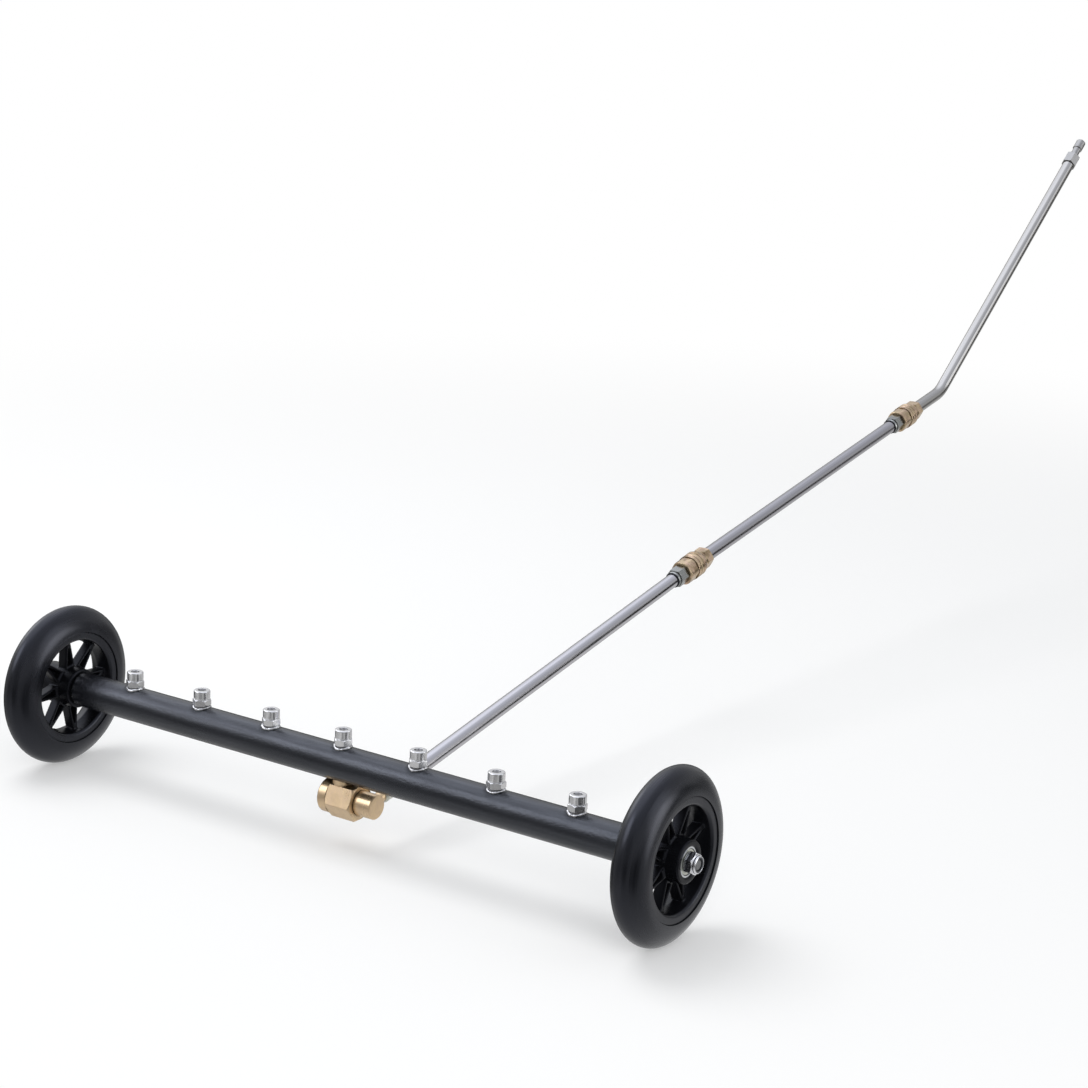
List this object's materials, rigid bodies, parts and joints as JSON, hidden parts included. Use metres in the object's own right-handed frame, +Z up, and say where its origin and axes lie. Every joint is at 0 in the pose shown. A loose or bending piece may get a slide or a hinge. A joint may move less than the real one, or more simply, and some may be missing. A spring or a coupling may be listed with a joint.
{
  "type": "wheeled undercarriage sprayer",
  "caption": "Spray bar with upward nozzles between two spoked wheels, fed through a brass swivel by a screwed steel wand bent up at its far end.",
  "frame": {"origin": "on the ground, below the middle of the part's bounding box", "axes": "+X along the spray bar to the side that the wand is on, +Y from the bar along the wand to its end, +Z up"},
  "size_m": [0.7218, 1.529, 0.5388],
  "materials": {
    "black_steel": "satin black powder coat",
    "nozzle_steel": "bright turned stainless",
    "insert_steel": "hardened, dull",
    "brass": "polished turned brass",
    "zinc_steel": "bright zinc",
    "bearing_steel": "ground steel",
    "nylon": "natural nylon",
    "rim_plastic": "moulded, satin",
    "tyre_rubber": "smooth solid rubber",
    "seal_rubber": "matt",
    "stainless_tube": "drawn stainless, fine lengthwise grain",
    "fitting_steel": "turned plated steel"
  },
  "bodies": {
    "manifold": {"manifold_bar": "black_steel", "end_plugs": "black_steel", "nozzle_bungs": "nozzle_steel", "spray_nozzles": "nozzle_steel", "orifice_inserts": "insert_steel", "inlet_bung": "black_steel", "inlet_nipple": "brass", "swivel_body": "brass", "swivel_end_cap": "brass", "axle_studs": "zinc_steel", "bearing_spacers": "zinc_steel", "bearing_inner_races": "bearing_steel", "axle_nuts": "zinc_steel", "nut_inserts": "nylon"},
    "wheel_left": {"rim_left": "rim_plastic", "tyre_left": "tyre_rubber", "outer_races_left": "bearing_steel", "bearing_shields_left": "bearing_steel"},
    "wheel_right": {"rim_right": "rim_plastic", "tyre_right": "tyre_rubber", "outer_races_right": "bearing_steel", "bearing_shields_right": "bearing_steel"},
    "balls_left": {"bearing_balls_left": "bearing_steel", "ball_cages_left": "nylon"},
    "balls_right": {"bearing_balls_right": "bearing_steel", "ball_cages_right": "nylon"},
    "wand": {"swivel_stem": "brass", "swivel_seals": "seal_rubber", "swivel_washer": "nylon", "swivel_clip": "zinc_steel", "wand_foot": "stainless_tube", "wand_tube_lower": "stainless_tube", "hex_fitting_lower": "fitting_steel", "coupler_tail_lower": "brass", "coupler_seal_lower": "seal_rubber", "wand_tube_middle": "stainless_tube", "hex_fitting_upper": "fitting_steel", "coupler_tail_upper": "brass", "coupler_seal_upper": "seal_rubber", "wand_tube_upper": "stainless_tube", "quick_plug": "fitting_steel"},
    "union_nut_lower": {"coupler_nut_lower": "brass"},
    "union_nut_upper": {"coupler_nut_upper": "brass"}
  },
  "joints": [
    {"name": "wheel_left_spin", "type": "hinge", "parent": "manifold", "child": "wheel_left", "pos_m": [-0.3314, -0.68954, 0.075], "axis": [1, 0, 0], "continuous": true},
    {"name": "wheel_right_spin", "type": "hinge", "parent": "manifold", "child": "wheel_right", "pos_m": [0.3314, -0.68954, 0.075], "axis": [1, 0, 0], "continuous": true},
    {"name": "balls_left_orbit", "type": "hinge", "parent": "manifold", "child": "balls_left", "pos_m": [-0.3314, -0.68954, 0.075], "axis": [1, 0, 0], "continuous": true},
    {"name": "balls_right_orbit", "type": "hinge", "parent": "manifold", "child": "balls_right", "pos_m": [0.3314, -0.68954, 0.075], "axis": [1, 0, 0], "continuous": true},
    {"name": "wand_pivot", "type": "hinge", "parent": "manifold", "child": "wand", "pos_m": [0.0265, -0.68514, 0.04155], "axis": [1, 0, 0], "range_deg": [-225, 38]},
    {"name": "union_nut_lower_turn", "type": "hinge", "parent": "wand", "child": "union_nut_lower", "pos_m": [0.0265, -0.16653, 0.15084], "axis": [0, 0.9785, 0.2062], "continuous": true},
    {"name": "union_nut_upper_turn", "type": "hinge", "parent": "wand", "child": "union_nut_upper", "pos_m": [0.0265, 0.30207, 0.23993], "axis": [0, 0.9828, 0.1848], "continuous": true}
  ],
  "couplings": [
    {"joint": "balls_left_orbit", "follows": "wheel_left_spin", "ratio": 0.6308},
    {"joint": "balls_right_orbit", "follows": "wheel_right_spin", "ratio": 0.6308}
  ]
}
